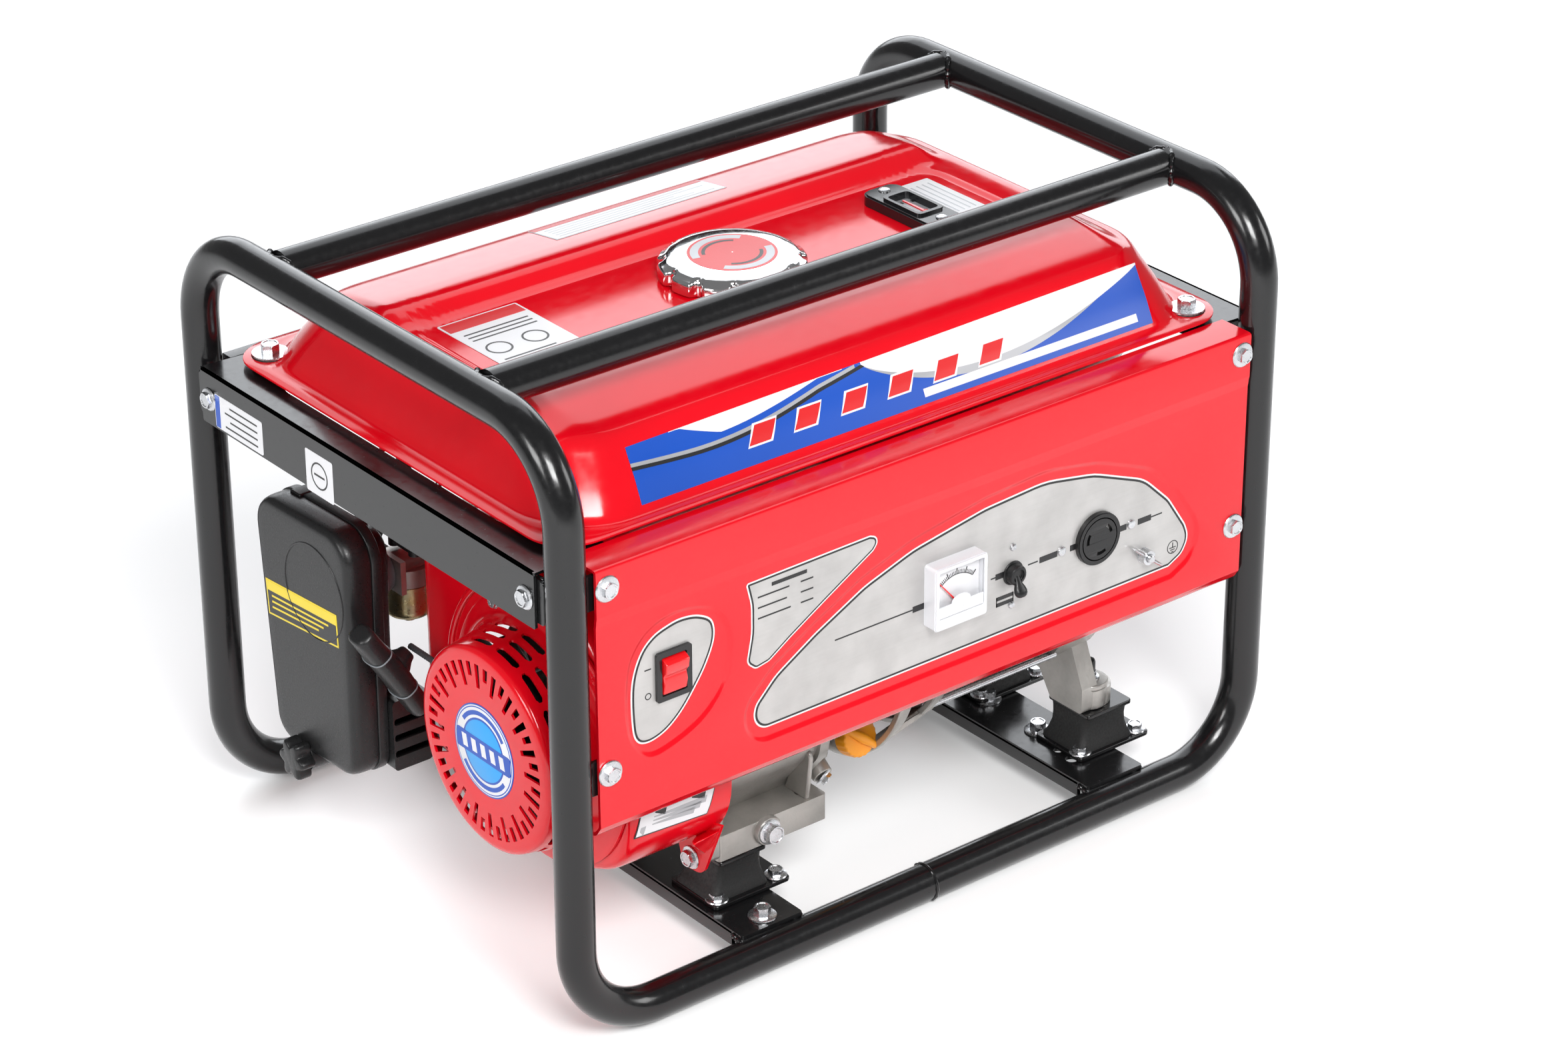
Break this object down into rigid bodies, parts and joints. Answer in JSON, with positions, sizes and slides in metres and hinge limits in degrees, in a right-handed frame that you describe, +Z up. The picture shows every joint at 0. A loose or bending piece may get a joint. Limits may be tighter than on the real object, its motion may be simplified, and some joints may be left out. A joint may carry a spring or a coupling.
{
  "type": "portable generator",
  "caption": "Open-frame portable petrol generator: bent-tube cage, red fuel tank and control panel, recoil-start engine and alternator on rubber mounts.",
  "frame": {"origin": "centre of the bounding box's footprint, on the surface the frame stands on", "axes": "+Z up, -Y towards the control panel, -X towards the recoil starter; the crankshaft is parallel to X"},
  "size_m": [0.6028, 0.4361, 0.4372],
  "materials": {
    "frame_black": "gloss powder coat",
    "red_paint": "gloss",
    "black_plastic": "satin",
    "rocker_red": "gloss",
    "meter_white": "gloss",
    "zinc": "bright zinc",
    "chrome": "polished",
    "cast_aluminium": "as cast",
    "cast_iron": "machined",
    "muffler_steel": "heat-resistant matte",
    "brass": "yellow chromate",
    "yellow_plastic": "satin",
    "rubber": "matte",
    "rope": "braided",
    "foam": "open cell"
  },
  "bodies": {
    "frame": {"frame_hoop_left": "frame_black", "frame_hoop_right": "frame_black", "top_rail_front": "frame_black", "top_rail_rear": "frame_black", "cross_member_left": "frame_black", "cross_member_right": "frame_black", "end_plate_left": "frame_black", "end_plate_right": "frame_black", "rear_rail": "frame_black", "front_panel": "red_paint", "control_box": "black_plastic", "switch_housing": "black_plastic", "voltmeter_case": "meter_white", "breaker_body": "black_plastic", "power_socket": "black_plastic", "tank_upper": "red_paint", "tank_lower": "red_paint", "fuel_gauge": "black_plastic", "engine_block": "cast_aluminium", "crankcase_cover": "cast_aluminium", "cylinder_head": "cast_aluminium", "rocker_cover": "cast_aluminium", "spark_plug": "zinc", "plug_lead": "rubber", "fan_shroud": "red_paint", "recoil_housing": "red_paint", "starter_rope": "rope", "alternator_front_bracket": "cast_aluminium", "alternator_stator": "zinc", "alternator_end_bracket": "cast_aluminium", "alternator_cover": "black_plastic", "air_cleaner_cover": "black_plastic", "air_cleaner_base": "black_plastic", "air_filter_element": "foam", "carburettor": "cast_aluminium", "carburettor_bowl": "brass", "fuel_tap": "brass", "fuel_hose": "rubber", "muffler": "muffler_steel", "muffler_guard": "zinc", "rubber_mount_left_front": "rubber", "rubber_mount_left_rear": "rubber", "rubber_mount_right_front": "rubber", "rubber_mount_right_rear": "rubber"},
    "crankshaft": {"crankshaft": "cast_iron", "flywheel": "cast_iron", "alternator_rotor": "cast_iron"},
    "engine_switch": {"engine_switch": "rocker_red"},
    "voltmeter_needle": {"voltmeter_needle": "rocker_red"},
    "breaker_toggle": {"breaker_toggle": "black_plastic"},
    "ground_wing_nut": {"ground_wing_nut": "zinc"},
    "fuel_cap": {"fuel_cap": "chrome"},
    "fuel_gauge_pointer": {"fuel_gauge_pointer": "rocker_red"},
    "starter_grip": {"starter_grip": "black_plastic"},
    "recoil_pulley": {"recoil_pulley": "black_plastic"},
    "choke_lever": {"choke_lever": "black_plastic"},
    "governor_arm": {"governor_arm": "zinc"},
    "fuel_tap_lever": {"fuel_tap_lever": "rocker_red"},
    "air_cleaner_knob": {"air_cleaner_knob": "black_plastic"},
    "dipstick": {"dipstick": "yellow_plastic"}
  },
  "joints": [
    {"name": "crankshaft_spin", "type": "hinge", "parent": "frame", "child": "crankshaft", "pos_m": [0, -0.096, 0.166], "axis": [1, 0, 0], "continuous": true},
    {"name": "starter_pull", "type": "slide", "parent": "frame", "child": "starter_grip", "axis": [-1, 0, 0], "range_m": [0, 0.55], "stiffness_N_per_m": 20, "springref_m": -0.5, "deforming": ["starter_rope"]},
    {"name": "recoil_pulley_turn", "type": "hinge", "parent": "frame", "child": "recoil_pulley", "pos_m": [-0.2575, -0.096, 0.166], "axis": [-1, 0, 0], "range_deg": [0, 570]},
    {"name": "engine_switch_rock", "type": "hinge", "parent": "frame", "child": "engine_switch", "pos_m": [-0.212, -0.2075, 0.2495], "axis": [1, 0, 0], "range_deg": [-19, 0]},
    {"name": "breaker_toggle_throw", "type": "hinge", "parent": "frame", "child": "breaker_toggle", "pos_m": [0.065, -0.212, 0.226], "axis": [1, 0, 0], "range_deg": [-100, 0]},
    {"name": "voltmeter_needle_swing", "type": "hinge", "parent": "frame", "child": "voltmeter_needle", "pos_m": [0.0115, -0.218, 0.2255], "axis": [0, 1, 0], "range_deg": [0, 82], "stiffness_Nm_per_rad": 0.0005},
    {"name": "ground_wing_nut_turn", "type": "hinge", "parent": "frame", "child": "ground_wing_nut", "pos_m": [0.181, -0.214, 0.201], "axis": [0, -1, 0], "range_deg": [0, 1080]},
    {"name": "fuel_cap_turn", "type": "hinge", "parent": "frame", "child": "fuel_cap", "pos_m": [0, 0, 0.392], "axis": [0, 0, 1], "range_deg": [0, 90]},
    {"name": "fuel_gauge_sweep", "type": "hinge", "parent": "frame", "child": "fuel_gauge_pointer", "pos_m": [0.155, -0.014, 0.391], "axis": [0, 0, 1], "range_deg": [-20, 20]},
    {"name": "choke_lever_turn", "type": "hinge", "parent": "frame", "child": "choke_lever", "pos_m": [-0.231, 0.066, 0.238], "axis": [0, 0, 1], "range_deg": [0, 50]},
    {"name": "governor_arm_swing", "type": "hinge", "parent": "frame", "child": "governor_arm", "pos_m": [-0.138, -0.05, 0.28], "axis": [0, 0, 1], "range_deg": [-5, 5], "stiffness_Nm_per_rad": 0.2},
    {"name": "fuel_tap_turn", "type": "hinge", "parent": "frame", "child": "fuel_tap_lever", "pos_m": [-0.196, 0.09, 0.2927], "axis": [0, -1, 0], "range_deg": [0, 90]},
    {"name": "air_cleaner_knob_turn", "type": "hinge", "parent": "frame", "child": "air_cleaner_knob", "pos_m": [-0.29, 0.1, 0.079], "axis": [-1, 0, 0], "range_deg": [0, 1080]},
    {"name": "dipstick_turn", "type": "hinge", "parent": "frame", "child": "dipstick", "pos_m": [-0.017, -0.15, 0.107], "axis": [0, -0.9681, 0.2504], "range_deg": [0, 720]}
  ],
  "couplings": [
    {"joint": "recoil_pulley_turn", "follows": "starter_pull", "rad_per_m": 17.86}
  ]
}
